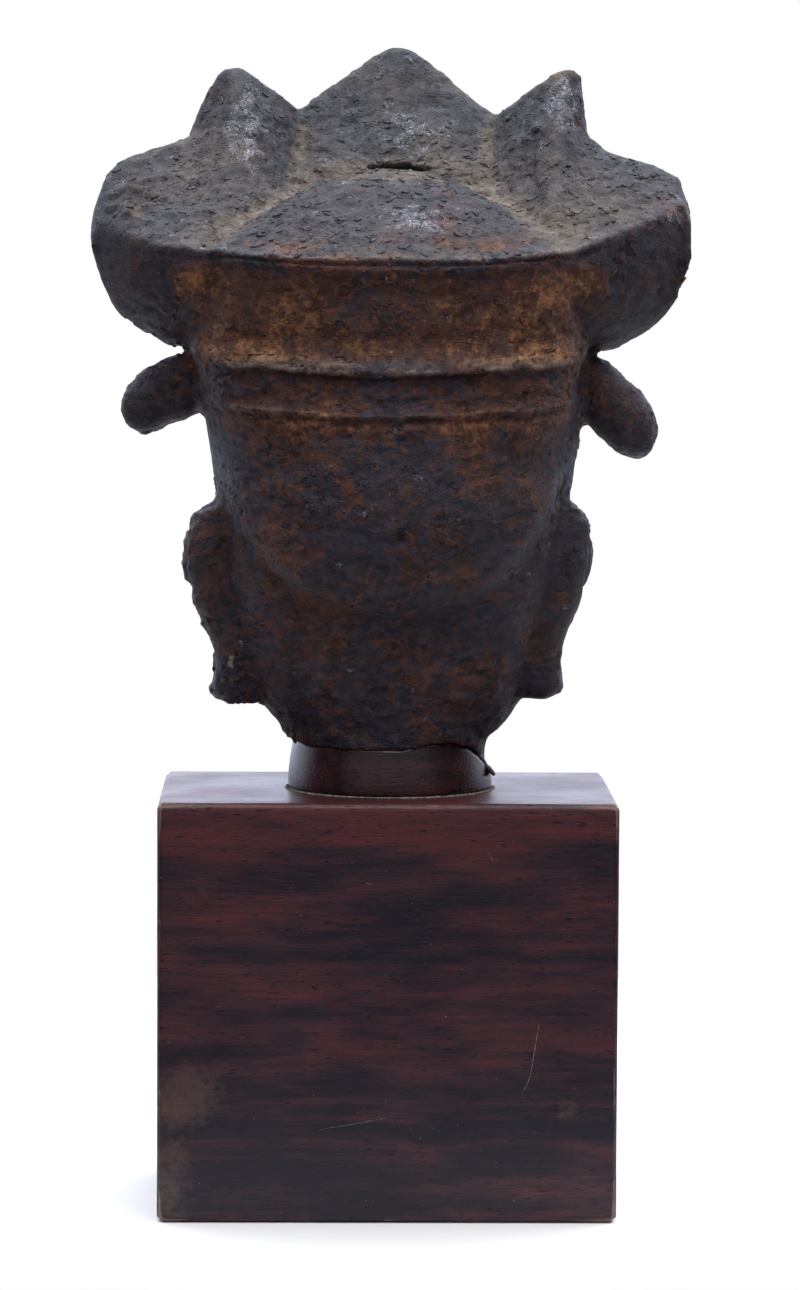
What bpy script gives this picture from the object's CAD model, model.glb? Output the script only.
"""A rusted cast iron head on a turned rosewood collar and a rosewood block, on a white studio floor.

The back of the head faces -Y. Lengths are in metres, and MM turns millimetres into them. Marks on the head
are placed in millimetres across it, through it and above the neck's broken edge, which is the collar's seat.
"""

import functools
import math

import bmesh
import bpy
import numpy as np
from mathutils import Matrix, Vector


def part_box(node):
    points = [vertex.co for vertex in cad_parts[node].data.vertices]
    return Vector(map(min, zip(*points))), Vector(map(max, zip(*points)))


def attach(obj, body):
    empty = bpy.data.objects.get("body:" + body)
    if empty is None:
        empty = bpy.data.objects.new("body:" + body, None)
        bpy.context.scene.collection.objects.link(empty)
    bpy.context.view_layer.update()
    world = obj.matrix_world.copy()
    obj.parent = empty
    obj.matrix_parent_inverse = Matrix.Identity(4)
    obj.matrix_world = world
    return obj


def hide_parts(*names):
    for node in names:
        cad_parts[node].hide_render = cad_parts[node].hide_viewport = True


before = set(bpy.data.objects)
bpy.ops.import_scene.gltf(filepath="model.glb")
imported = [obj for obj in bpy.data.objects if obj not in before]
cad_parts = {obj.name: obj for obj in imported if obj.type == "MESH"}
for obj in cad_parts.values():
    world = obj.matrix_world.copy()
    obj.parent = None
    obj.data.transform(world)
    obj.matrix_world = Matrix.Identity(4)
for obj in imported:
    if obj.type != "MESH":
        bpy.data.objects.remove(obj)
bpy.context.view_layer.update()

MM = 0.001
SEED = 11

# Boxes of the solids, which the pieces here keep to
HEAD_LOW, HEAD_HIGH = (np.array(corner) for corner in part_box("iron_head"))
COLLAR_LOW, COLLAR_HIGH = (np.array(corner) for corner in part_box("wooden_collar"))
BLOCK_LOW, BLOCK_HIGH = (np.array(corner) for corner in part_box("wooden_block"))
SKIN_MARGIN = 0.02 * MM

# Collar, as it was turned
COLLAR_RADIUS = (COLLAR_HIGH[1] - COLLAR_LOW[1]) / 2
COLLAR_X = COLLAR_HIGH[0] - COLLAR_RADIUS
COLLAR_HEIGHT = 16.3 * MM
COLLAR_TAPER = 2.2 * MM
COLLAR_EDGE = 1.0 * MM
COLLAR_SIDES = 192
SEAT_Z = COLLAR_LOW[2] + COLLAR_HEIGHT

# The neck's broken edge from side to side: shares of the collar's radius and of its height
SEAT_OUTLINE = (
    (-1.35, 0.10),
    (-0.90, 0.09),
    (-0.75, 0.00),
    (0.10, 0.00),
    (0.28, 0.10),
    (0.62, 0.11),
    (0.76, -0.02),
    (0.88, -0.34),
    (1.04, -0.78),
    (1.35, -0.80),
)

# Block, as it was planed
BLOCK_EDGE = 2.6 * MM
BLOCK_GRID = 2.4 * MM

# Skin of the head and the flakes that lift from it
SKIN_VOXEL = 1.52 * MM
SKIN_SMOOTHING = 2
FLAKES_PER_SQUARE_METRE = 80000

# Lines on the head's back as they appear from behind, in millimetres across and above the neck's edge
DOME_OUTLINE = (
    (-64.0, 170.0),
    (-57.0, 179.0),
    (-41.6, 193.0),
    (-25.9, 201.7),
    (-3.6, 203.4),
    (22.1, 202.4),
    (40.2, 192.6),
    (52.4, 180.5),
    (61.0, 172.5),
)
BULGE_EDGE = (
    (-61.6, 99.0),
    (-50.0, 76.0),
    (-31.2, 57.2),
    (-14.0, 49.5),
    (4.5, 46.8),
    (22.0, 50.5),
    (40.2, 60.7),
    (53.0, 78.0),
    (61.6, 99.0),
)

# Spots as they appear from behind, in millimetres, each a middle and a half size: rubbed bright, and rusty
RUBBED_SPOTS = ((7, 222, 11, 15), (8, 187, 12, 6), (-51, 218, 7, 15), (59, 226, 8, 10), (98, 187, 5, 3))
RUSTY_SPOTS = ((88, 191, 13, 10), (-88, 190, 12, 8), (-40, 175, 22, 5), (34, 176, 26, 5), (-12, 172, 30, 4))

# Camera, where the photograph was taken from: its place, its turns in degrees and its lens in millimetres
CAMERA_PLACE = (-0.028, -1.796, 0.3441)
CAMERA_YAW = 1.04
CAMERA_PITCH = 4.63
CAMERA_ROLL = 0.3
CAMERA_LENS = 140.8

# Round white table top
TABLE_RADIUS = 0.36
TABLE_MIDDLE = (0.0, 0.19, 0.0)

# Kinds of nodes that are used most
NOISE = "ShaderNodeTexNoise"
CELLS = "ShaderNodeTexVoronoi"
MATHS = "ShaderNodeMath"
VECTOR = "ShaderNodeVectorMath"
RANGE = "ShaderNodeMapRange"
MIX = "ShaderNodeMix"
RANDOM = "FunctionNodeRandomValue"
EASED = {"interpolation_type": "SMOOTHSTEP"}


def hashed(cell, seed):
    """A number from 0 to 1 for each whole-numbered cell."""
    n = (cell[..., 0] * 73856093) ^ (cell[..., 1] * 19349663) ^ (cell[..., 2] * 83492791) ^ (seed * 15485863)
    n = ((n ^ (n >> 13)) * 1274126177) & 0xFFFFFFFF
    n = ((n ^ (n >> 16)) * 1911520717) & 0xFFFFFFFF
    return ((n ^ (n >> 15)) & 0xFFFFFF) / 0xFFFFFF


def noise(points, size, seed):
    """Smooth noise from -1 to 1, with lumps of that size."""
    p = points / size
    cell = np.floor(p).astype(np.int64)
    t = p - cell
    t = t * t * (3 - 2 * t)
    total = np.zeros(len(points))
    for corner in np.ndindex(2, 2, 2):
        weight = np.prod(np.where(corner, t, 1 - t), axis=1)
        total += weight * hashed(cell + corner, seed)
    return 2 * total - 1


def layered(points, size, seed, layers=3):
    """Noise with finer noise added to it."""
    return sum(noise(points, size / 2**k, seed + k) / 2**k for k in range(layers)) / (2 - 2 / 2**layers)


def cells(points, size, seed):
    """How far the two nearest cells' middles are, in cells, and the nearest cell's own number."""
    p = points / size
    base = np.floor(p).astype(np.int64)
    nearest, following = np.full(len(p), 9.0), np.full(len(p), 9.0)
    number = np.zeros(len(p))
    for offset in np.ndindex(3, 3, 3):
        cell = base + offset - 1
        middle = cell + np.column_stack([hashed(cell, seed + k) for k in range(3)])
        distance = np.linalg.norm(p - middle, axis=1)
        closer = distance < nearest
        following = np.where(closer, nearest, np.minimum(following, distance))
        number = np.where(closer, hashed(cell, seed + 7), number)
        nearest = np.where(closer, distance, nearest)
    return nearest, following, number


def ramp(low, high, value):
    """0 on low's side and 1 on high's side, easing between them."""
    t = np.clip((value - low) / (high - low), 0.0, 1.0)
    return t * t * (3 - 2 * t)


def bump(distance, width):
    """1 where the distance is 0, falling off smoothly within about that width."""
    return np.exp(-((distance / width) ** 2))


def line_distance(across, height, line):
    """Distance from points to a line of corners, each given as (across, height)."""
    found = np.full(len(across), 1e9)
    for (x0, z0), (x1, z1) in zip(line[:-1], line[1:]):
        run = (x1 - x0) ** 2 + (z1 - z0) ** 2
        t = np.clip(((across - x0) * (x1 - x0) + (height - z0) * (z1 - z0)) / run, 0, 1)
        found = np.minimum(found, np.hypot(across - x0 - t * (x1 - x0), height - z0 - t * (z1 - z0)))
    return found


def gathered(items, field, width, kind=np.float32):
    """A field of a mesh's points or edges, a row for each."""
    found = np.empty(len(items) * width, kind)
    items.foreach_get(field, found)
    return found.reshape(-1, width)


def positions(mesh):
    return gathered(mesh.vertices, "co", 3).astype(float)


def set_positions(mesh, points):
    mesh.vertices.foreach_set("co", points.astype(np.float32).ravel())
    mesh.update()


def normals(mesh):
    return gathered(mesh.vertex_normals, "vector", 3).astype(float)


def edge_ends(mesh):
    return gathered(mesh.edges, "vertices", 2, np.int32).T


def spread(values, ends, rounds):
    """Each point takes half of its neighbours' mean, some rounds long."""
    a, b = ends
    count = np.bincount(a, minlength=len(values)) + np.bincount(b, minlength=len(values))
    for _ in range(rounds):
        sums = [np.bincount(a, v[b], len(v)) + np.bincount(b, v[a], len(v)) for v in values.T]
        values = 0.5 * values + 0.5 * np.column_stack(sums) / count[:, None]
    return values


def add_attributes(mesh, **values):
    for name, value in values.items():
        layer = mesh.attributes.new(name, "FLOAT", "POINT")
        layer.data.foreach_set("value", np.clip(value, 0, 1).astype(np.float32))


def new_object(name, mesh, material=None):
    made = bpy.data.objects.new(name, mesh)
    bpy.context.scene.collection.objects.link(made)
    if material is not None:
        mesh.materials.clear()
        mesh.materials.append(material)
    mesh.polygons.foreach_set("use_smooth", np.ones(len(mesh.polygons), bool))
    return made


def plain_mesh(source):
    """An object's mesh with its modifiers applied. The object is removed."""
    bpy.context.view_layer.update()
    graph = bpy.context.evaluated_depsgraph_get()
    mesh = bpy.data.meshes.new_from_object(source.evaluated_get(graph))
    source.modifiers.clear()
    mesh.name = source.name
    bpy.data.objects.remove(source, do_unlink=True)
    return mesh


def join_rows(built, rows, closed=True):
    """Faces between rows of points. Closed rows run round."""
    for low, high in zip(rows[:-1], rows[1:]):
        for i in range(len(low) if closed else len(low) - 1):
            j = (i + 1) % len(low)
            built.faces.new((low[i], low[j], high[j], high[i]))


def finished(built, name):
    """A mesh datablock from a bmesh, its faces turned outwards."""
    bmesh.ops.recalc_face_normals(built, faces=built.faces[:])
    mesh = bpy.data.meshes.new(name)
    built.to_mesh(mesh)
    built.free()
    return mesh


def linear(hex_colour):
    """The linear colour of an sRGB hex value."""
    parts = [int(hex_colour[i : i + 2], 16) / 255 for i in (1, 3, 5)]
    return [p / 12.92 if p <= 0.04045 else ((p + 0.055) / 1.055) ** 2.4 for p in parts] + [1.0]


def add(tree, kind, inputs=None, **settings):
    """Adds a node with its settings and links. An input is a value, a hex colour, a socket, or a node, of
    which the first output in use is taken."""
    node = tree.nodes.new(kind)
    for name, value in settings.items():
        setattr(node, name, value)
    for key, value in (inputs or {}).items():
        if isinstance(value, bpy.types.Node):
            value = next(socket for socket in value.outputs if socket.enabled)
        if isinstance(value, bpy.types.NodeSocket):
            tree.links.new(value, node.inputs[key])
        elif isinstance(value, str) and value.startswith("#"):
            node.inputs[key].default_value = linear(value)
        else:
            node.inputs[key].default_value = value
    return node


def start_material(name, attributes=()):
    """A new material, a short way to add nodes to it, its Object coordinates, and its piece's attributes."""
    material = bpy.data.materials.new(name)
    material.use_nodes = True
    material.node_tree.nodes.clear()
    node = functools.partial(add, material.node_tree)
    place = node("ShaderNodeTexCoord").outputs["Object"]
    read = [node("ShaderNodeAttribute", attribute_name=each).outputs["Fac"] for each in attributes]
    return material, node, place, read


def rusted_cast_iron():
    """Cast iron, poured rough and long weathered. Its dark skin comes off in thin flakes 1 to 5 mm wide and
    shows orange rust, grey-brown dust lies on what looks up, and rubbed places glint blue-grey."""
    names = ("dust", "rust", "bare", "pale", "dark")
    material, node, place, (dust, rust, bare, pale, dark) = start_material("rusted_cast_iron", names)
    wander = node(NOISE, {"Vector": place, "Scale": 1000 / 4.0, "Detail": 3.0}).outputs["Color"]
    drift = node(VECTOR, {0: wander, 1: (0.5, 0.5, 0.5)}, operation="SUBTRACT")
    drift = node(VECTOR, {0: drift, "Scale": 4.5 * MM}, operation="SCALE")
    bent = node(VECTOR, {0: place, 1: drift}, operation="ADD")
    bent = node(VECTOR, {0: bent, 1: (0.8, 0.8, 1.5)}, operation="MULTIPLY")
    combed = node(VECTOR, {0: bent, 1: (0.5, 0.5, 1.2)}, operation="MULTIPLY")

    plates = node(CELLS, {"Vector": bent, "Scale": 1000 / 3.4}).outputs["Color"]
    plates = node("ShaderNodeSeparateColor", {0: plates})
    scales = node(CELLS, {"Vector": bent, "Scale": 1000 / 1.5}).outputs["Color"]
    scales = node("ShaderNodeSeparateColor", {0: scales})
    ledges = node(NOISE, {"Vector": combed, "Scale": 1000 / 3.4, "Detail": 2.0, "Roughness": 0.6})
    region = node(NOISE, {"Vector": place, "Scale": 1000 / 26, "Detail": 4.0, "Roughness": 0.6})
    broad = {"Vector": place, "Scale": 1000 / 24, "Detail": 4.0, "Roughness": 0.6, "Distortion": 0.6}
    broad = node(NOISE, broad)
    patch = node(NOISE, {"Vector": bent, "Scale": 1000 / 7, "Detail": 7.0, "Roughness": 0.78})
    spots = node(NOISE, {"Vector": place, "Scale": 1000 / 3.0, "Detail": 5.0, "Roughness": 0.7})
    grit = node(NOISE, {"Vector": place, "Scale": 1000 / 0.8, "Detail": 3.0, "Roughness": 0.7})
    gaps = node(NOISE, {"Vector": place, "Scale": 1000 / 5.0, "Detail": 2.0})

    # Dark slits open under the flakes' edges, in some regions only
    slit = node(MATHS, {0: ledges, 1: 0.5}, operation="SUBTRACT")
    slit = node(MATHS, {0: slit}, operation="ABSOLUTE")
    slit = node(RANGE, {0: slit, 1: 0.030, 2: 0.008}, **EASED)
    open_here = node(RANGE, {0: gaps, 1: 0.56, 2: 0.65}, **EASED)
    slit = node(MATHS, {0: slit, 1: open_here}, operation="MULTIPLY")
    pits = node(RANGE, {0: grit, 1: 0.38, 2: 0.28}, **EASED)

    height = node(MATHS, {0: plates.outputs[0], 1: 0.8}, operation="MULTIPLY")
    height = node(MATHS, {0: scales.outputs[0], 1: 0.45, 2: height}, operation="MULTIPLY_ADD")
    height = node(MATHS, {0: grit, 1: 1.2, 2: height}, operation="MULTIPLY_ADD")
    height = node(MATHS, {0: spots, 1: 1.2, 2: height}, operation="MULTIPLY_ADD")
    height = node(MATHS, {0: slit, 1: -1.0, 2: height}, operation="MULTIPLY_ADD")

    # The rust's share grows with the attribute and breaks up into patches, spots and whole flakes
    rusty = node(MATHS, {0: broad, 1: 0.7}, operation="MULTIPLY")
    rusty = node(MATHS, {0: patch, 1: 0.7, 2: rusty}, operation="MULTIPLY_ADD")
    rusty = node(MATHS, {0: rust, 1: 0.42, 2: rusty}, operation="MULTIPLY_ADD")
    uneven = node(MATHS, {0: spots, 1: 0.5}, operation="SUBTRACT")
    rusty = node(MATHS, {0: uneven, 1: 0.85, 2: rusty}, operation="MULTIPLY_ADD")
    rusted = node(RANGE, {0: rusty, 1: 0.73, 2: 0.93}, **EASED)
    bright = node(RANGE, {0: rusty, 1: 0.96, 2: 1.20, 4: 0.85}, **EASED)

    # Dust is a grey film at first, and thick and brown where most of it has settled
    held = node(MATHS, {0: uneven, 1: 0.9, 2: dust}, operation="MULTIPLY_ADD")
    held = node(MATHS, {0: scales.outputs[1], 1: 0.18, 2: held}, operation="MULTIPLY_ADD")
    filmed = node(RANGE, {0: held, 1: 0.30, 2: 0.74, 4: 0.92}, **EASED)
    warm = node(MATHS, {0: region, 1: 0.6, 2: dust}, operation="MULTIPLY_ADD")
    earthy = node(RANGE, {0: warm, 1: 0.80, 2: 1.12}, **EASED)
    thick = node(RANGE, {0: held, 1: 0.84, 2: 1.15}, **EASED)

    # Rubbed metal shows as fine bright threads between the flakes
    threads = {"Vector": bent, "Scale": 1000 / 1.8, "Detail": 3.0, "Roughness": 0.6, "Distortion": 1.5}
    threads = node(NOISE, threads)
    glint = node(MATHS, {0: threads, 1: 0.5}, operation="SUBTRACT")
    glint = node(MATHS, {0: glint}, operation="ABSOLUTE")
    glint = node(RANGE, {0: glint, 1: 0.032, 2: 0.006}, **EASED)
    glint_here = node(MATHS, {0: gaps, 1: 0.5}, operation="SUBTRACT")
    glint_here = node(MATHS, {0: glint_here, 1: 2.5, 2: bare}, operation="MULTIPLY_ADD")
    glint_here = node(RANGE, {0: glint_here, 1: 0.35, 2: 0.85}, **EASED)
    glint = node(MATHS, {0: glint, 1: glint_here}, operation="MULTIPLY")

    colour = node(MIX, {0: region, 6: "#2c2d37", 7: "#453c44"}, data_type="RGBA").outputs[2]
    film = node(MIX, {0: earthy, 6: "#52545b", 7: "#6c625a"}, data_type="RGBA").outputs[2]
    haze = node(MATHS, {0: glint_here, 1: 0.25}, operation="MULTIPLY")
    film = node(MIX, {0: haze, 6: film, 7: "#74767f"}, data_type="RGBA").outputs[2]
    ochre = node(RANGE, {0: rust, 1: 0.45, 2: 0.85}, **EASED)
    film = node(MIX, {0: ochre, 6: film, 7: "#a07c5e"}, data_type="RGBA").outputs[2]
    layers = (
        (rusted, "#5c392c"),
        (bright, "#96663f"),
        (filmed, film),
        (thick, "#7c736a"),
        (glint, "#c4c8d3"),
        (pale, "#a59c8c"),
    )
    for share, tone in layers:
        colour = node(MIX, {0: share, 6: colour, 7: tone}, data_type="RGBA").outputs[2]
    # Raised skin is lighter than the hollows between it
    worked = node(RANGE, {0: height, 1: 1.25, 2: 2.45, 3: 0.50, 4: 1.45}).outputs[0]
    colour = node(MIX, {0: 1.0, 6: colour, 7: worked}, data_type="RGBA", blend_type="MULTIPLY").outputs[2]
    layers = (
        (node(MATHS, {0: pits, 1: 0.5}, operation="MULTIPLY"), "#1c1716"),
        (node(MATHS, {0: slit, 1: 0.65}, operation="MULTIPLY"), "#17120f"),
        (dark, "#0b0909"),
    )
    for share, tone in layers:
        colour = node(MIX, {0: share, 6: colour, 7: tone}, data_type="RGBA").outputs[2]

    rough = node(MATHS, {0: filmed, 1: 0.20, 2: 0.46}, operation="MULTIPLY_ADD")
    rough = node(MATHS, {0: scales.outputs[1], 1: 0.16, 2: rough}, operation="MULTIPLY_ADD")
    raised = node("ShaderNodeBump", {"Height": height, "Distance": 0.5 * MM, "Strength": 1.0})
    inputs = {"Base Color": colour, "Roughness": rough, "Specular IOR Level": 0.35, "Normal": raised}
    shader = node("ShaderNodeBsdfPrincipled", inputs)
    node("ShaderNodeOutputMaterial", {0: shader})
    return material


def rosewood(name, tones, band_mm, shift_mm, satin, specked):
    """Rosewood under an old satin varnish. Growth layers of red-brown and blackish purple are sawn along
    their length, open pores lie in them as fine dashes 1 to 3 mm long, and edges are rubbed paler."""
    dark, middle, red = tones
    material, node, place, (worn, stain) = start_material(name, ("worn", "stain"))
    sway = node(NOISE, {"Vector": place, "Scale": 1000 / 90, "Detail": 2.0}).outputs["Color"]
    sway = node(VECTOR, {0: sway, "Scale": 8 * MM}, operation="SCALE")
    grain = node(VECTOR, {0: place, 1: sway}, operation="ADD")
    # The tree's middle ran along X, well below and in front of the block
    around = node(VECTOR, {0: grain, 1: (0.0, 1.0, 1.0)}, operation="MULTIPLY")
    around = node(VECTOR, {0: around, 1: (0.0, 0.16, 0.34 + shift_mm * MM)}, operation="ADD")
    ring = node(VECTOR, {0: around}, operation="LENGTH")
    bands = {"W": ring, "Scale": 1000 / band_mm, "Detail": 3.0, "Roughness": 0.6}
    bands = node(NOISE, bands, noise_dimensions="1D")
    long_grain = node(VECTOR, {0: grain, 1: (0.045, 1.0, 1.0)}, operation="MULTIPLY")
    streaks = node(NOISE, {"Vector": long_grain, "Scale": 1000 / 2.6, "Detail": 6.0, "Roughness": 0.8})
    blotches = node(VECTOR, {0: grain, 1: (0.22, 1.0, 1.0)}, operation="MULTIPLY")
    cloud = node(NOISE, {"Vector": blotches, "Scale": 1000 / 9, "Detail": 6.0, "Roughness": 0.65})
    short_grain = node(VECTOR, {0: place, 1: (0.16, 1.0, 1.0)}, operation="MULTIPLY")
    pores = node(NOISE, {"Vector": short_grain, "Scale": 1000 / 0.75, "Detail": 1.0})
    pores = node(RANGE, {0: pores, 1: 0.59, 2: 0.67}, **EASED)
    specks = node(NOISE, {"Vector": place, "Scale": 1000 / 1.1, "Detail": 1.0})
    specks = node(RANGE, {0: specks, 1: 0.745, 2: 0.79, 4: specked}, **EASED)
    fibres = node(NOISE, {"Vector": long_grain, "Scale": 1000 / 0.8, "Detail": 2.0})

    # Bands, streaks and clouds of tone, redder towards the block's top and darker at its foot
    tone = node(MATHS, {0: bands, 1: 0.35}, operation="MULTIPLY")
    tone = node(MATHS, {0: streaks, 1: 0.6, 2: tone}, operation="MULTIPLY_ADD")
    tone = node(MATHS, {0: cloud, 1: 1.05, 2: tone}, operation="MULTIPLY_ADD")
    depth = node("ShaderNodeSeparateXYZ", {0: place}).outputs[2]
    upper = node(RANGE, {0: depth, 1: 0.118, 2: 0.144, 4: 0.17}, **EASED)
    tone = node(MATHS, {0: tone, 1: upper}, operation="ADD")
    lower = node(RANGE, {0: depth, 1: 0.055, 2: 0.020, 4: 0.12}, **EASED)
    tone = node(MATHS, {0: tone, 1: lower}, operation="SUBTRACT")
    browner = node(RANGE, {0: tone, 1: 0.80, 2: 1.08}, **EASED)
    redder = node(RANGE, {0: tone, 1: 0.98, 2: 1.32}, **EASED)
    rub = node(NOISE, {"Vector": place, "Scale": 1000 / 2.5, "Detail": 4.0, "Roughness": 0.65})
    rubbed = node(MATHS, {0: rub, 1: 0.9, 2: worn}, operation="MULTIPLY_ADD")
    rubbed = node(RANGE, {0: rubbed, 1: 0.78, 2: 1.25, 4: 0.8}, **EASED)
    stained = node(MATHS, {0: rub, 1: 1.4, 2: stain}, operation="MULTIPLY_ADD")
    stained = node(RANGE, {0: stained, 1: 1.05, 2: 1.75, 4: 0.5}, **EASED)
    colour = dark
    layers = (
        (browner, middle),
        (redder, red),
        (node(MATHS, {0: fibres, 1: 0.30}, operation="MULTIPLY"), dark),
        (node(MATHS, {0: pores, 1: 0.75}, operation="MULTIPLY"), "#0e080c"),
        (stained, "#5b463c"),
        (specks, "#8f8580"),
        (rubbed, "#7d6458"),
    )
    for share, tone in layers:
        colour = node(MIX, {0: share, 6: colour, 7: tone}, data_type="RGBA").outputs[2]

    height = node(MATHS, {0: pores, 1: -1.0, 2: fibres}, operation="MULTIPLY_ADD")
    height = node(MATHS, {0: streaks, 1: 1.5, 2: height}, operation="MULTIPLY_ADD")
    smudge = node(NOISE, {"Vector": place, "Scale": 1000 / 28, "Detail": 4.0})
    rough = {0: smudge, 1: 0.3, 2: 0.7, 3: satin, 4: satin + 0.10}
    rough = node(RANGE, rough, **EASED)
    rough = node(MATHS, {0: rubbed, 1: 0.3, 2: rough}, operation="MULTIPLY_ADD")
    raised = node("ShaderNodeBump", {"Height": height, "Distance": 0.045 * MM, "Strength": 1.0})
    inputs = {"Base Color": colour, "Roughness": rough, "Specular IOR Level": 0.32, "Normal": raised}
    shader = node("ShaderNodeBsdfPrincipled", inputs)
    node("ShaderNodeOutputMaterial", {0: shader})
    return material


def chalky_grit():
    """Dust and crumbs of old glue, dry and chalky, in grains well under 1 mm."""
    material, node, place, _ = start_material("chalky_grit")
    tone = node(NOISE, {"Vector": place, "Scale": 1000 / 1.6, "Detail": 3.0})
    share = node(RANGE, {0: tone, 1: 0.35, 2: 0.65}, **EASED)
    colour = node(MIX, {0: share, 6: "#6a655c", 7: "#a29c8f"}, data_type="RGBA").outputs[2]
    raised = node("ShaderNodeBump", {"Height": tone, "Distance": 0.2 * MM, "Strength": 1.0})
    inputs = {"Base Color": colour, "Roughness": 0.95, "Specular IOR Level": 0.2, "Normal": raised}
    shader = node("ShaderNodeBsdfPrincipled", inputs)
    node("ShaderNodeOutputMaterial", {0: shader})
    return material


def ridge_heights(across):
    """Heights of the two ridges behind the head, in millimetres: both rise towards its sides."""
    rise = 4.0 * np.minimum(1.3, (np.abs(across) / 62) ** 2.4)
    jitter = noise(np.column_stack([across, 0 * across, 0 * across]), 9.0, 77)
    return 133.0 + rise + 0.5 * jitter, 118.2 + rise + 0.4 * jitter


def seat_height(across):
    """Height of the neck's broken edge in metres, at a share of the collar's radius across it."""
    return COLLAR_LOW[2] + COLLAR_HEIGHT * (1 + np.interp(across * 0.96, *np.array(SEAT_OUTLINE).T))


def seen_flat(x, y, z):
    """Where a point appears to the camera on an upright plane through the head, in millimetres."""
    eye_x, eye_y, eye_z = np.array(CAMERA_PLACE) / MM - (0, 0, SEAT_Z / MM)
    plane_y = -45.0
    nearer = (plane_y - eye_y) / (y - eye_y)
    return eye_x + (x - eye_x) * nearer, eye_z + (z - eye_z) * nearer


def at_back(x, y, facing):
    """1 on the flat back of the head, 0 at its sides and front."""
    return ramp(-30, -44, y) * ramp(0.0, -0.35, facing[:, 1]) * ramp(82, 74, np.abs(x))


def band_relief(x, y, z, facing):
    """The two ridges behind the head and the cove above them, crisper than the solid's, in millimetres."""
    upper, lower = ridge_heights(x)
    rough = 1 + 0.4 * noise(np.column_stack([x, z, 0 * x]), 4.0, 78)
    back = at_back(x, y, facing)
    relief = 1.0 * rough * bump(z - upper, 1.3) - 1.1 * rough * bump(z - upper + 2.8, 1.5)
    relief += 0.9 * rough * bump(z - lower, 0.9) - 0.8 * rough * bump(z - lower + 2.4, 1.4)
    relief -= 0.9 * bump(z - upper - 9, 6.0)
    return relief * back


def back_marks(x, y, z, facing):
    """Marks that stand out on the back: depth in millimetres, darkness, and where the iron is pale."""
    back = ramp(0.3, -0.2, facing[:, 1])

    # The skull stands out in a broad round bulge above the neck
    inside = np.where(z > np.interp(x, *np.array(BULGE_EDGE).T), 1.0, -1.0)
    beside = inside * line_distance(x, z, BULGE_EDGE)
    bulge = 0.75 * beside * bump(beside, 6.5) * back * ramp(-15, -25, y) * ramp(100, 88, z)
    pit = bump(np.hypot(x - 3.7, z - 76.3), 1.6) * (y < 0)
    depth, dark = bulge - 1.6 * pit, 0.8 * pit

    # The crack between the middle leaf and the dome: a lens with finer cracks running on from both ends
    along = np.column_stack([x, 0 * x, 0 * x])
    path = 204.9 + 0.012 * (x - 4) - 0.0035 * (x - 4) ** 2 + 0.35 * noise(along, 4.0, 71)
    lens = 1.35 * np.sqrt(np.clip(1 - ((x - 4.0) / 12.0) ** 2, 0, 1)) * (1 + 0.3 * noise(along, 2.2, 73))
    fine = 0.35 * ramp(26, 22, np.abs(x - 1)) * ramp(-0.35, 0.1, noise(along, 5.0, 72))
    near = (y > 12) & (y < 34) & (z > 190)
    wide = np.maximum(np.maximum(lens, fine), 0.05)
    gap = ramp(wide + 0.25, wide - 0.25, np.abs(z - path)) * near
    depth -= gap * np.where(lens > 0.4, 2.6, 0.6)
    depth += 0.7 * bump(z - path + wide + 0.9, 0.9) * ramp(22, 10, np.abs(x - 3)) * near
    dark = np.maximum(dark, gap * np.where(lens > 0.3, 1.0, 0.5) * (wide > 0.1))

    # Flakes have broken away from the left lobe in two ledges
    ledges = (((-98, 193.5), (-94, 196), (-88, 195), (-84, 193)), ((-99, 188.5), (-96, 190), (-93, 187)))
    for line in ledges:
        gone = line_distance(x, z, line)
        below = z < np.interp(x, *np.array(line).T)
        depth += np.where(below, -0.9, 0.6) * bump(gone, 2.0) * back
        dark = np.maximum(dark, 0.5 * below * bump(gone, 0.9) * back)

    # A rib runs down the neck on the left, and a pale chip sits on the left ear's lobe
    rib = bump(line_distance(x, z, ((-22, 39), (-23, 30), (-25.5, 21))), 1.8) * (y < -20)
    depth += 1.1 * rib
    pale = 0.08 * rib + 1.0 * (bump(line_distance(x, z, ((-55.6, 31), (-54.9, 28.2))), 0.9) > 0.5) * back
    return depth, dark, pale


def front_carving(x, y, z):
    """Fine carving on the unseen sides, in millimetres: lids, lips, ears and the crown's pearls."""
    side = np.abs(x)
    face = ramp(30, 42, y)
    lid = 67.2 - 3.2 * (1 - ((side - 23.5) / 13) ** 2)
    depth = -1.2 * bump(z - lid, 0.9) * (np.abs(side - 23.5) < 13) * face
    fold = 78.0 - 3.0 * ((side - 23.5) / 14) ** 2
    depth -= 1.0 * bump(z - fold, 0.9) * (np.abs(side - 23.5) < 14) * face
    smile = 35.5 + 1.8 * (side / 20) ** 2
    depth -= 1.3 * bump(z - smile, 0.9) * ramp(21, 16, side) * face
    depth -= 0.8 * bump(side, 1.8) * bump(z - 43.5, 3.0) * face
    depth -= 1.2 * bump(side - 7.5, 2.0) * bump(z - 49.0, 1.3) * face
    shell = np.hypot((y + 12) / 9.5, (z - 66) / 16)
    depth -= 1.5 * bump(shell - 0.72, 0.16) * ramp(58, 62, side) * (z < 90)
    depth -= 1.6 * bump(y + 12, 3.0) * ramp(20, 26, z) * ramp(44, 38, z) * ramp(54, 57, side)
    turn = np.arctan2(x, y + 8) / 0.155
    depth += 1.4 * bump((turn - np.round(turn)) * 9.0, 2.6) * bump(z - 151, 2.6) * ramp(18, 28, y)
    for line in (142.5, 159.5):
        depth -= 0.6 * bump(z - line, 0.9) * ramp(10, 20, y)
    return depth


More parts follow.
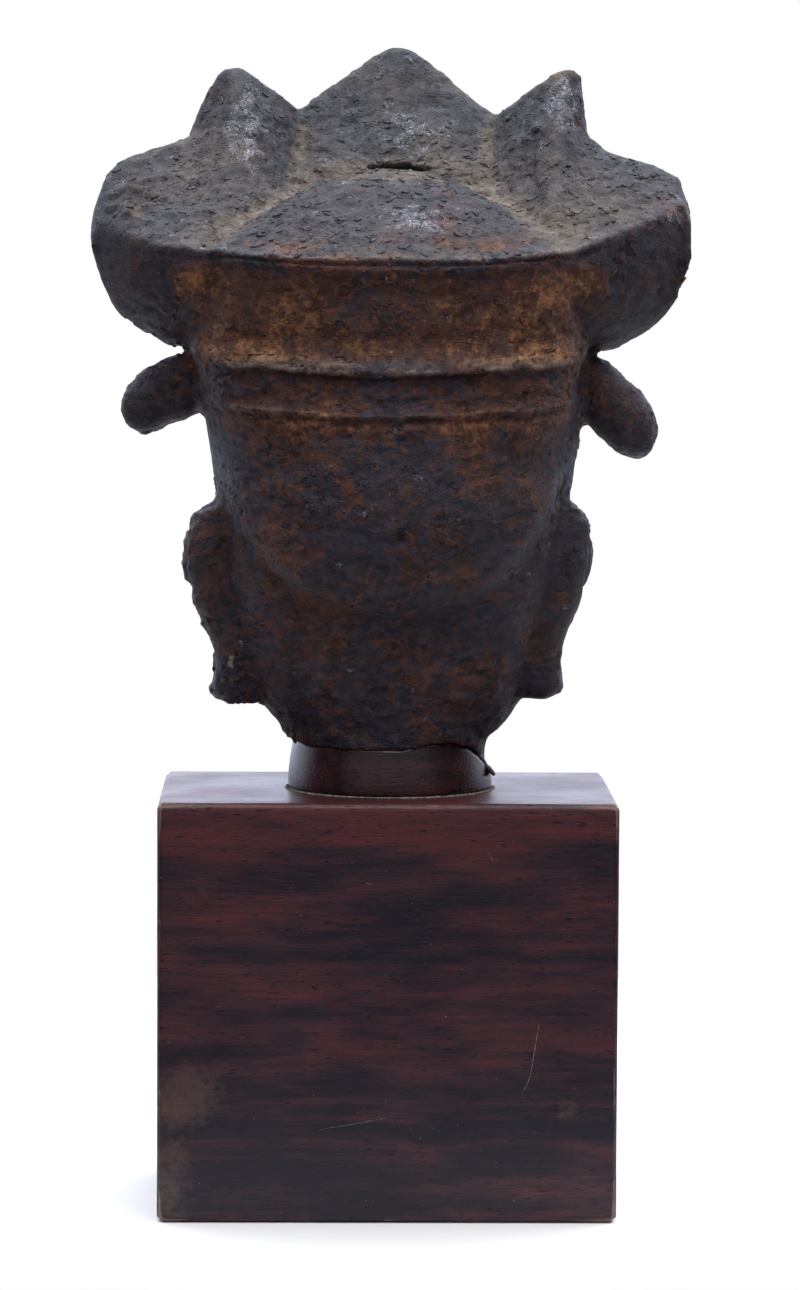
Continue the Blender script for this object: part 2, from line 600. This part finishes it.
def weathering(points, facing, calm):
    """How far rust has raised or eaten the skin, in millimetres. It is less where the skin is calm."""
    warp = np.column_stack([noise(points, 5 * MM, 40 + k) for k in range(3)]) * 1.6 * MM
    flaky = ramp(-0.45, 0.25, noise(points, 21 * MM, 3) + 0.5 * facing[:, 2]) * (1 - 0.6 * calm)
    depth = 0.45 * layered(points, 24 * MM, 5) + 0.30 * layered(points, 8 * MM, 9)
    nearest, following, number = cells(points * (1, 1, 1.4) + warp, 7.0 * MM, 21)
    depth += (number - 0.5) * (0.2 + 0.75 * flaky)
    depth -= 0.35 * flaky * (1 - ramp(0.03, 0.13, following - nearest)) * (number > 0.45)
    nearest, following, number = cells(points * (1, 1, 1.5) + warp, 3.6 * MM, 33)
    depth += (number - 0.5) * (0.2 + 0.55 * flaky)
    nearest, following, number = cells(points, 11 * MM, 57)
    depth -= 0.9 * (number > 0.72) * bump(nearest * 11, 1.4) * (1 - calm)
    return depth


def head_skin():
    """The head's form as a fine, even mesh."""
    solid = bmesh.new()
    solid.from_mesh(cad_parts["iron_head"].data)
    bmesh.ops.remove_doubles(solid, verts=solid.verts[:], dist=0.02 * MM)
    rough = new_object("iron_skin", finished(solid, "iron_skin"))
    even = rough.modifiers.new("even", "REMESH")
    even.mode = "VOXEL"
    even.voxel_size = SKIN_VOXEL
    soft = rough.modifiers.new("soft", "SMOOTH")
    soft.factor = 0.5
    soft.iterations = SKIN_SMOOTHING
    mesh = plain_mesh(rough)
    x, y, z = (positions(mesh) / MM - (0, 0, SEAT_Z / MM)).T
    # The ridges, the rim and the crack take finer faces than the rest
    ridges = (y < -30) & (np.abs(x) < 80) & (np.abs(z - 127) < 15)
    crack = (y > 0) & (y < 36) & (np.abs(x - 2) < 28) & (np.abs(z - 204.5) < 4)
    rim = (y < -48) & (np.abs(x) < 80) & (np.abs(z - 169.5) < 4)
    for place, cuts in ((ridges | rim, 1), (crack, 3)):
        fine = bmesh.new()
        fine.from_mesh(mesh)
        place = np.concatenate([place, np.zeros(len(fine.verts) - len(place), bool)])
        edges = [edge for edge in fine.edges if all(place[end.index] for end in edge.verts)]
        bmesh.ops.subdivide_edges(fine, edges=edges, cuts=cuts, use_grid_fill=True)
        fine.to_mesh(mesh)
        fine.free()
    return mesh


def settle(points, ends, x, y, z):
    """Lowers the dome, makes the form crisp again and sets its thin underside on the collar's cut top."""
    # The dome is a little lower than the solid's, so that the crack shows above it
    dome = ramp(172, 203, z) * ramp(12, 4, y) * ramp(60, 50, np.abs(x))
    points[:, 2] -= 2.4 * MM * dome

    # The fine mesh has rounded the form's edges a little and left its thin underside short of the seat
    points += 1.3 * (points - spread(points, ends, 6))
    across = (points[:, 0] - COLLAR_X) / COLLAR_RADIUS
    above = (points[:, 2] - seat_height(across)) / MM
    seated = np.interp(above, (-3.0, 0.0, 2.9, 7.0, 9.0), (-3.0, 0.15, 0.30, 7.0, 9.0))
    near = ramp(4.5, 2.0, (np.hypot(points[:, 0] - COLLAR_X, points[:, 1]) - COLLAR_RADIUS) / MM)
    points[:, 2] += near * (seated - above) * MM * (above > -3) * (above < 7)
    return points


def spot_share(across, height, spot):
    """1 in the middle of a spot, which is given as its middle and half size, and 0 well outside it."""
    middle, level, half_width, half_height = spot
    return bump(np.hypot((across - middle) / half_width, (height - level) / half_height), 1.0)


def ageing(points, place, facing, broad, hollow, handled, dark, pale):
    """How much dust, rust, bare metal, paleness and darkness each point of the iron has."""
    x, y, z = place
    high = ramp(160, 172, z) * ramp(60, 40, y)
    up = ramp(0.35 * high * ramp(-30, -42, y), 0.75, broad[:, 2])
    drift = noise(points, 30 * MM, 87)
    patchy = noise(points, 9 * MM, 93)
    across, tall = seen_flat(x, y, z)
    foot_width = 4.5 + 2.0 * ramp(195, 175, tall)
    foot = bump(line_distance(across, tall, DOME_OUTLINE), foot_width) * high * up * ramp(30, 20, y)
    upper, lower = ridge_heights(x)
    back = at_back(x, y, facing)
    cove = back * bump(z - upper - 2.6, 2.6) * (0.65 + 0.6 * patchy)
    valley = ramp(0.3, 2.2, hollow)
    # Dust lies on what looks up, along the dome's foot and in the cove, and handling has greyed the front
    dust = up * (0.20 + 0.43 * high) + (0.26 * valley + 0.12 * drift) * high * up
    dust += 0.20 * foot * (1 + 0.5 * patchy) + 0.56 * cove + 0.42 * handled

    # The dome itself holds less of it
    inside = high * ramp(0.0, 4.0, np.interp(across, *np.array(DOME_OUTLINE).T) - tall) * ramp(25, 12, y)
    dust -= 0.36 * inside * ramp(172, 180, tall)

    # Rust covers the wall and runs out down the skull, and it shows on the flanks and in the cove
    wall = back * ramp(96, 112, z) * ramp(172, 165, z) * (0.45 + 0.55 * ramp(134, 142, z))
    flank = ramp(20, -20, y) * bump(np.abs(x) - 70, 9) * ramp(100, 120, z) * ramp(175, 165, z)
    under = ramp(0, -25, y) * ramp(110, 90, z) * 0.16
    rust = 0.68 * wall + 0.35 * flank + under + 0.3 * cove + 0.05 + 0.2 * noise(points, 35 * MM, 88)
    rust += 0.25 * back * bump(z - lower + 4, 3.5)
    bare = 0.25 * ramp(0.0, -1.0, hollow) * up * high + 0.45 * handled
    for spot in RUBBED_SPOTS:
        bare = np.maximum(bare, spot_share(across, tall, spot) * high * ramp(40, 25, y))
    for spot in RUSTY_SPOTS:
        near = spot_share(across, tall, spot) * high * ramp(40, 25, y)
        rust += 0.45 * near * (0.7 + 0.9 * patchy)
        dust -= 0.10 * near
    # The ridges' edges are rubbed pale, with shade below them
    edge = back * (bump(z - upper - 0.4, 0.7) + 0.4 * bump(z - lower - 0.3, 0.6))
    edge = 0.42 * edge * ramp(-0.3, 0.4, noise(points, 5 * MM, 90))
    shade = back * (0.45 * bump(z - upper + 1.9, 0.9) + 0.35 * bump(z - lower + 1.6, 0.8))
    dark = np.maximum(dark, shade * ramp(-0.6, 0.2, noise(points, 6 * MM, 94)))
    # The round lobes and the ears have kept more of their black skin
    lobes = ramp(66, 84, np.abs(x)) * ramp(0.3, 0.0, broad[:, 2])
    ears = 0.6 * ramp(48, 56, np.abs(x)) * (z < 100)
    dark = np.maximum(dark, 0.4 * np.maximum(lobes, ears) * ramp(-0.9, 0.1, noise(points, 12 * MM, 96)))
    return {"dust": dust, "rust": rust, "bare": bare, "pale": np.maximum(pale, edge), "dark": dark}


def make_head(material):
    """The iron: its form from the solid, then carving, weathering, dust and rust on every point."""
    mesh = head_skin()
    points, facing = positions(mesh), normals(mesh)
    ends = edge_ends(mesh)
    x, y, z = (points / MM).T
    z = z - SEAT_Z / MM
    points = settle(points, ends, x, y, z)

    hollow = np.einsum("ij,ij->i", spread(points, ends, 70) - points, facing) / MM
    broad = spread(facing, ends, 8)
    broad /= np.linalg.norm(broad, axis=1)[:, None]
    calm = ramp(20, 45, y) * ramp(0, 10, z) * ramp(140, 120, z)

    depth, dark, pale = back_marks(x, y, z, facing)
    # The wall behind the crown breaks off sharply from its top, and a thin shadow lies under that rim
    behind = ramp(-30, -42, y) * ramp(156, 164, z) * ramp(200, 190, z) * ramp(0.15, -0.2, facing[:, 1])
    depth += behind * (0.6 * bump(broad[:, 2] - 0.62, 0.2) - 0.9 * bump(broad[:, 2] - 0.16, 0.16))
    dark = np.maximum(dark, 0.5 * behind * bump(broad[:, 2] - 0.2, 0.14))
    pale += 0.22 * behind * bump(broad[:, 2] - 0.62, 0.14) * ramp(-0.5, 0.3, noise(points, 6 * MM, 95))
    carving = front_carving(x, y, z)
    depth += band_relief(x, y, z, facing) + carving
    # Dirt has stayed in the carved lines, and what stands out of the face and crown is rubbed
    dark = np.maximum(dark, 0.6 * ramp(0.3, 1.0, -carving))
    handled = ramp(0.3, 1.5, -hollow) * ramp(5, 25, y) * ramp(190, 170, z) * ramp(0.1, 0.5, facing[:, 1])
    crest = ramp(0.3, 1.5, -hollow) * ramp(172, 182, z)
    depth += weathering(points, facing, calm) * (1 - 0.8 * dark) * (1 - 0.5 * crest)
    moved = points + facing * (depth * MM * ramp(0.2, 2.5, z))[:, None]
    set_positions(mesh, np.clip(moved, HEAD_LOW + SKIN_MARGIN, HEAD_HIGH - SKIN_MARGIN))

    ages = ageing(points, (x, y, z), facing, broad, hollow, handled, dark, pale)
    add_attributes(mesh, **ages)

    # Fewer flakes lift on the face and on sides and crests, which handling has worn
    flaky = ramp(-0.30, 0.40, noise(points, 17 * MM, 3) + 0.45 * facing[:, 2]) * ramp(1, 5, z)
    flaky *= (1 - 0.85 * calm) * (1 - 0.7 * ramp(0.45, 0.8, np.abs(facing[:, 0]))) * (1 - 0.8 * crest)
    add_attributes(mesh, flaky=flaky)
    return new_object("iron_skin", mesh, material)


def flake_form():
    """One lifted flake of rust: a thin, uneven seven-sided plate about 2 mm wide."""
    built = bmesh.new()
    corners = 7
    rows = []
    for height, width in ((-0.25, 1.02), (0.14, 1.0), (0.24, 0.84)):
        ring = []
        for i in range(corners):
            reach, turn = width * (1.0 + 0.28 * math.sin(2.3 * i + 0.7)), 2 * math.pi * i / corners
            ring.append(built.verts.new((reach * math.cos(turn), 0.62 * reach * math.sin(turn), height)))
        rows.append(ring)
    join_rows(built, rows)
    built.faces.new(rows[-1])
    built.faces.new(rows[0])
    bmesh.ops.scale(built, vec=(MM, MM, MM), verts=built.verts[:])
    return new_object("flake_form", finished(built, "flake_form"))


def new_tree(name, sockets):
    """A Geometry Nodes tree with named inputs, a short way to add nodes to it, and the inputs' sockets."""
    tree = bpy.data.node_groups.new(name, "GeometryNodeTree")
    tree.interface.new_socket("Geometry", in_out="OUTPUT", socket_type="NodeSocketGeometry")
    for label, kind in (("Geometry", "Geometry"), *sockets):
        tree.interface.new_socket(label, in_out="INPUT", socket_type="NodeSocket" + kind)
    node = functools.partial(add, tree)
    return tree, node, node("NodeGroupInput").outputs


def grown(bed, tree, values):
    """The mesh that a tree makes on an object, its named inputs set by their sockets' identifiers."""
    modifier = bed.modifiers.new(tree.name, "NODES")
    modifier.node_group = tree
    sockets = {item.name: item.identifier for item in tree.interface.items_tree if item.in_out == "INPUT"}
    for label, value in values.items():
        modifier[sockets[label]] = value
    return plain_mesh(bed)


def random_vector(node, reach, seed, turn=0.0):
    """A random vector: X and Y reach that far either way, and Z goes from 0 up to the turn."""
    back = node(MATHS, {0: reach, 1: -1.0}, operation="MULTIPLY")
    low = node("ShaderNodeCombineXYZ", {0: back, 1: back})
    high = node("ShaderNodeCombineXYZ", {0: reach, 1: reach, 2: turn})
    return node(RANDOM, {0: low, 1: high, "Seed": seed}, data_type="FLOAT_VECTOR")


def strewn(tree, node, laid, material):
    """Ends a tree: the shapes laid on its points are made real and take the material."""
    real = node("GeometryNodeRealizeInstances", {0: node("GeometryNodeInstanceOnPoints", laid)})
    done = node("GeometryNodeSetMaterial", {"Geometry": real, "Material": material})
    node("NodeGroupOutput", {0: done})
    return tree


def flake_tree():
    """Scatters flakes over a surface. Each lies on it with a small tilt, turn and size of its own."""
    sockets = (
        ("Flake", "Object"),
        ("Flakes per square metre", "Float"),
        ("Smallest", "Float"),
        ("Largest", "Float"),
        ("Tilt", "Float"),
        ("Seed", "Int"),
        ("Material", "Material"),
    )
    tree, node, given = new_tree("rust_flakes", sockets)
    flaky = node("GeometryNodeInputNamedAttribute", {"Name": "flaky"}, data_type="FLOAT")
    density = node(MATHS, {0: flaky, 1: given["Flakes per square metre"]}, operation="MULTIPLY")
    scatter = {"Mesh": given["Geometry"], "Density": density, "Seed": given["Seed"]}
    spots = node("GeometryNodeDistributePointsOnFaces", scatter)
    lean = random_vector(node, given["Tilt"], given["Seed"], turn=2 * math.pi)
    turned = {0: spots.outputs["Rotation"], 1: lean}
    turned = node("FunctionNodeRotateEuler", turned, rotation_type="EULER", space="LOCAL")
    size = node(RANDOM, {2: given["Smallest"], 3: given["Largest"], "Seed": given["Seed"]})
    form = node("GeometryNodeObjectInfo", {"Object": given["Flake"]}).outputs["Geometry"]
    laid = {"Points": spots, "Instance": form, "Rotation": turned, "Scale": size.outputs[1]}
    return strewn(tree, node, laid, given["Material"])


def make_flakes(head, material):
    """The flakes that have lifted from the iron, as one mesh that carries the head's own dust and rust."""
    bed = new_object("iron_flakes", head.data.copy(), material)
    form = flake_form()
    values = {
        "Flake": form,
        "Flakes per square metre": float(FLAKES_PER_SQUARE_METRE),
        "Smallest": 0.4,
        "Largest": 1.6,
        "Tilt": 0.2,
        "Seed": SEED,
        "Material": material,
    }
    made = grown(bed, flake_tree(), values)
    bpy.data.objects.remove(form, do_unlink=True)
    set_positions(made, np.clip(positions(made), HEAD_LOW + SKIN_MARGIN, HEAD_HIGH - SKIN_MARGIN))
    flakes = new_object("iron_flakes", made, material)
    made.polygons.foreach_set("use_smooth", np.zeros(len(made.polygons), bool))
    return flakes


def make_collar(material):
    """The turned ring, its top cut to the broken iron, with a narrow rubbed edge."""
    turns = np.arange(COLLAR_SIDES) * 2 * math.pi / COLLAR_SIDES
    c, s = np.cos(turns), np.sin(turns)
    flat = np.zeros(COLLAR_SIDES)
    insets = (1.1 * MM, 3 * MM, 6 * MM, 10 * MM, 16 * MM, 24 * MM)
    seats = []
    for inset in (0, *insets):
        top = np.minimum(seat_height(c * (1 - inset / COLLAR_RADIUS)), COLLAR_HIGH[2])
        seats.append(top - COLLAR_LOW[2])
    seat = seats[0]
    full = COLLAR_HEIGHT * 1.15

    rings = [(flat, 12 * MM, 0.0), (flat, COLLAR_EDGE, 0.0)]
    for turn in (0.35, 0.8, 1.2):
        rings.append((flat + COLLAR_EDGE * (1 - math.cos(turn)), COLLAR_EDGE * (1 - math.sin(turn)), 0.0))
    for share in np.linspace(0, 1, 14):
        rings.append((COLLAR_EDGE + (seat - COLLAR_EDGE - 0.9 * MM) * share, 0.0, 0.0))
    rings += [(seat - 0.45 * MM, 0.10 * MM, 1.0), (seat - 0.10 * MM, 0.50 * MM, 1.0)]
    # The top follows the broken iron inwards as well
    rings += [(height, inset, 0.0) for height, inset in zip(seats[1:], insets)]

    built = bmesh.new()
    rows, worn = [], []
    for height, inset, mark in rings:
        share = np.clip(1 - (height - COLLAR_EDGE) / (full - COLLAR_EDGE), 0, 1)
        radius = COLLAR_RADIUS - COLLAR_TAPER * (1 - np.sin(share * math.pi / 2)) - inset
        places = zip(COLLAR_X + radius * c, radius * s, COLLAR_LOW[2] + height)
        rows.append([built.verts.new(place) for place in places])
        worn += [mark] * COLLAR_SIDES
    join_rows(built, rows)
    for row in (rows[0], rows[-1]):
        middle = built.verts.new(np.mean([vertex.co for vertex in row], axis=0))
        worn.append(0.0)
        for i in range(COLLAR_SIDES):
            built.faces.new((row[i], row[(i + 1) % COLLAR_SIDES], middle))
    mesh = finished(built, "collar_turned")
    points = positions(mesh)
    points[:, :2] += (0.05 * MM * noise(points, 9 * MM, 91))[:, None] * normals(mesh)[:, :2]
    set_positions(mesh, np.clip(points, COLLAR_LOW + 0.01 * MM, COLLAR_HIGH - 0.01 * MM))
    rub = np.array(worn) * (0.55 + 0.35 * noise(points, 5 * MM, 92))
    add_attributes(mesh, worn=rub, stain=np.zeros(len(points)))
    return new_object("collar_turned", mesh, material)


def block_steps(low, high):
    """Places along one side of the block: close together over its rounded edges and even between them."""
    edge = BLOCK_EDGE * (1 - np.cos(np.linspace(0, math.pi / 2, 7)[:-1]))
    inner = np.linspace(low + BLOCK_EDGE, high - BLOCK_EDGE, round((high - low) / BLOCK_GRID))
    return np.concatenate([low + edge, inner, high - edge[::-1]])


def make_block(material):
    """The block: sawn square and planed, its edges softened and its corners knocked by handling."""
    steps = [block_steps(BLOCK_LOW[k], BLOCK_HIGH[k]) for k in range(3)]
    built = bmesh.new()
    for axis in range(3):
        u, v = (axis + 1) % 3, (axis + 2) % 3
        for end in (BLOCK_LOW[axis], BLOCK_HIGH[axis]):
            rows = []
            for a in steps[u]:
                row = []
                for b in steps[v]:
                    place = Vector((0.0, 0.0, 0.0))
                    place[axis], place[u], place[v] = end, a, b
                    row.append(built.verts.new(place))
                rows.append(row)
            join_rows(built, list(zip(*rows)), closed=False)
    bmesh.ops.remove_doubles(built, verts=built.verts[:], dist=0.001 * MM)
    mesh = finished(built, "block_planed")

    points = positions(mesh)
    inner = np.clip(points, BLOCK_LOW + BLOCK_EDGE, BLOCK_HIGH - BLOCK_EDGE)
    outward = points - inner
    outward /= np.linalg.norm(outward, axis=1)[:, None]
    points = inner + outward * BLOCK_EDGE
    edge = ramp(0.02, 0.29, 1 - np.max(np.abs(outward), axis=1))
    knock = ramp(0.15, 0.75, noise(points, 14 * MM, 61)) * ramp(-0.3, 0.6, noise(points, 3.5 * MM, 62))
    corner = bump(np.linalg.norm(np.minimum(points - BLOCK_LOW, BLOCK_HIGH - points), axis=1) / MM, 9)
    depth = edge * (0.10 + 0.30 * knock + 0.10 * noise(points, 5 * MM, 63)) + 0.5 * corner * edge
    depth += 0.06 * (1 + layered(points, 34 * MM, 64))
    points -= outward * (depth * MM)[:, None]
    set_positions(mesh, np.clip(points, BLOCK_LOW, BLOCK_HIGH))

    x, y, z = (points / MM).T
    behind = ramp(3, 0, y - BLOCK_LOW[1] / MM)
    stain = bump(np.hypot((x + 70) / 1.2, z - 46), 12) + 0.8 * bump(np.hypot(x + 76, (z - 14) / 1.8), 10)
    stain += 0.7 * bump(np.hypot(x - 63, z - 40), 6) + 0.5 * bump(np.hypot(x + 66, z - 118), 8)
    worn = edge * (0.30 + 0.45 * knock) + 0.85 * corner * edge + 0.35 * corner
    add_attributes(mesh, worn=worn, stain=1.1 * stain * behind)
    return new_object("block_planed", mesh, material)


def make_scratches(material):
    """Old scratches in the varnish of the block's back, slender and three-sided, filled with pale dust."""
    lines = (
        [(52.9, 70.9), (52.2, 66.5), (51.5, 62.2), (49.9, 52.1), (48.7, 49.0), (46.9, 46.3)],
        [(-23.8, 33.2), (-12.0, 35.1), (0.1, 37.4)],
        [(34.5, 131.0), (35.5, 129.4), (36.4, 127.5)],
        [(-8.0, 120.0), (-5.5, 119.2)],
    )
    half_width, deep = 0.26, 0.22
    built = bmesh.new()
    for line in lines:
        count = 4 * len(line)
        places = np.column_stack([
            np.interp(np.linspace(0, len(line) - 1, count), np.arange(len(line)), column)
            for column in np.array(line).T
        ])
        runs = np.gradient(places, axis=0)
        runs /= np.linalg.norm(runs, axis=1)[:, None]
        widths = half_width * np.sin(math.pi * np.linspace(0.04, 0.96, count)) ** 0.6
        rows = []
        for (x, z), (dx, dz), width in zip(places, runs, widths):
            left = (x - dz * width, deep, z + dx * width)
            right = (x + dz * width, deep, z - dx * width)
            corners = (left, (x, 0.0, z), right)
            rows.append([built.verts.new((a * MM, BLOCK_LOW[1] + b * MM, c * MM)) for a, b, c in corners])
        join_rows(built, rows)
        built.faces.new(rows[0])
        built.faces.new(rows[-1])
    return new_object("block_scratches", finished(built, "block_scratches"), material)


def grit_tree():
    """Strews grains along a ring, each a small crumb with a size, a turn and a place of its own."""
    sockets = (
        ("Ring radius", "Float"),
        ("Grains", "Int"),
        ("Grain radius", "Float"),
        ("Spread", "Float"),
        ("Seed", "Int"),
        ("Material", "Material"),
    )
    tree, node, given = new_tree("collar_grit", sockets)
    ring = node("GeometryNodeCurvePrimitiveCircle", {"Radius": given["Ring radius"]}, mode="RADIUS")
    spots = node("GeometryNodeCurveToPoints", {"Curve": ring, "Count": given["Grains"]}, mode="COUNT")
    shift = random_vector(node, given["Spread"], given["Seed"])
    moved = node("GeometryNodeSetPosition", {"Geometry": spots, "Offset": shift})
    grain = node("GeometryNodeMeshIcoSphere", {"Radius": given["Grain radius"], "Subdivisions": 1})
    turn = node(RANDOM, {1: (6.28, 6.28, 6.28)}, data_type="FLOAT_VECTOR")
    size = node(RANDOM, {2: 0.35, 3: 1.25})
    laid = {"Points": moved, "Instance": grain, "Rotation": turn, "Scale": size.outputs[1]}
    return strewn(tree, node, laid, given["Material"])


def make_grit(material):
    """The pale crumbs of dust and old glue where the collar meets the block."""
    bed = new_object("collar_grit", bpy.data.meshes.new("collar_grit"))
    values = {
        "Ring radius": COLLAR_RADIUS - 0.1 * MM,
        "Grains": 3600,
        "Grain radius": 0.36 * MM,
        "Spread": 1.1 * MM,
        "Seed": SEED,
        "Material": material,
    }
    made = grown(bed, grit_tree(), values)
    set_positions(made, positions(made) + (COLLAR_X, 0, BLOCK_HIGH[2] + 0.05 * MM))
    return new_object("collar_grit", made, material)


def studio():
    """A round white table top in white surroundings, soft light from above, and the photograph's camera."""
    built = bmesh.new()
    middle = Matrix.Translation(TABLE_MIDDLE)
    bmesh.ops.create_circle(built, cap_ends=True, segments=96, radius=TABLE_RADIUS, matrix=middle)
    material, node, _, _ = start_material("white_table")
    shader = node("ShaderNodeBsdfPrincipled", {"Base Color": "#f8f8f8", "Roughness": 0.9})
    node("ShaderNodeOutputMaterial", {0: shader})
    floor = new_object("floor", finished(built, "floor"), material)

    # Bright white walls stand behind the object, the room in front of it is dimmer, and its sides are dark.
    # What the camera sees beyond the table is plain white on every side.
    world = bpy.data.worlds.new("white_room")
    world.use_nodes = True
    world.node_tree.nodes.clear()
    node = functools.partial(add, world.node_tree)
    way = node("ShaderNodeSeparateXYZ", {0: node("ShaderNodeTexCoord").outputs["Generated"]})
    behind = node(RANGE, {0: way.outputs[1], 1: 0.10, 2: 0.60}, **EASED)
    above = {0: way.outputs[2], 1: -0.12, 2: 0.02, 3: 0.2, 4: 1.0}
    above = node(RANGE, above, **EASED)
    front = node(RANGE, {0: way.outputs[1], 1: -0.40, 2: -0.85}, **EASED)
    room = node(MATHS, {0: behind, 1: 2.0, 2: 0.18}, operation="MULTIPLY_ADD")
    room = node(MATHS, {0: front, 1: 0.60, 2: room}, operation="MULTIPLY_ADD")
    room = node(MATHS, {0: room, 1: above}, operation="MULTIPLY")
    tint = node(MIX, {0: behind, 6: "#eff1ff", 7: "#dfe8ff"}, data_type="RGBA").outputs[2]
    seen = node("ShaderNodeLightPath").outputs["Is Camera Ray"]
    strength = node(MIX, {0: seen, 2: room, 3: 1.0}, data_type="FLOAT")
    tint = node(MIX, {0: seen, 6: tint, 7: "#ffffff"}, data_type="RGBA").outputs[2]
    sky = node("ShaderNodeBackground", {0: tint, 1: strength})
    node("ShaderNodeOutputWorld", {0: sky})
    bpy.context.scene.world = world

    lamp = bpy.data.lights.new("soft_overhead", "SUN")
    lamp.energy = 3.6
    lamp.angle = math.radians(70)
    holder = bpy.data.objects.new("soft_overhead", lamp)
    holder.rotation_euler = Vector((-0.10, 0.05, -1.0)).to_track_quat("-Z", "Y").to_euler()
    bpy.context.scene.collection.objects.link(holder)

    camera = bpy.data.cameras.new("camera")
    camera.sensor_width = 36.0
    camera.lens = CAMERA_LENS
    camera.clip_end = 60.0
    holder = bpy.data.objects.new("camera", camera)
    yaw, pitch, roll = (math.radians(turn) for turn in (CAMERA_YAW, CAMERA_PITCH, CAMERA_ROLL))
    ahead = Vector((math.sin(yaw) * math.cos(pitch), math.cos(yaw) * math.cos(pitch), -math.sin(pitch)))
    turn = ahead.to_track_quat("-Z", "Y").to_matrix() @ Matrix.Rotation(roll, 3, "Z")
    holder.matrix_world = Matrix.Translation(CAMERA_PLACE) @ turn.to_4x4()
    bpy.context.scene.collection.objects.link(holder)
    bpy.context.scene.camera = holder
    bpy.context.scene.view_settings.view_transform = "Standard"


def main():
    iron = rusted_cast_iron()
    tones = ("#1a151f", "#3a2228", "#5f2c2c")
    block_wood = rosewood("rosewood_block", tones, band_mm=10.0, shift_mm=0.0, satin=0.29, specked=0.4)
    tones = ("#050405", "#160b0e", "#421e21")
    collar_wood = rosewood("rosewood_collar", tones, band_mm=12.0, shift_mm=40.0, satin=0.13, specked=0.0)
    grit = chalky_grit()
    head = make_head(iron)
    flakes = make_flakes(head, iron)
    collar = make_collar(collar_wood)
    block = make_block(block_wood)
    pieces = (
        (head, "iron"),
        (flakes, "iron"),
        (collar, "collar_wood"),
        (make_grit(grit), "collar_wood"),
        (block, "block_wood"),
        (make_scratches(grit), "block_wood"),
    )
    for piece, slot in pieces:
        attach(piece, "root")
    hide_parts("iron_head")
    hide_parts("wooden_collar")
    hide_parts("wooden_block")
    studio()


main()
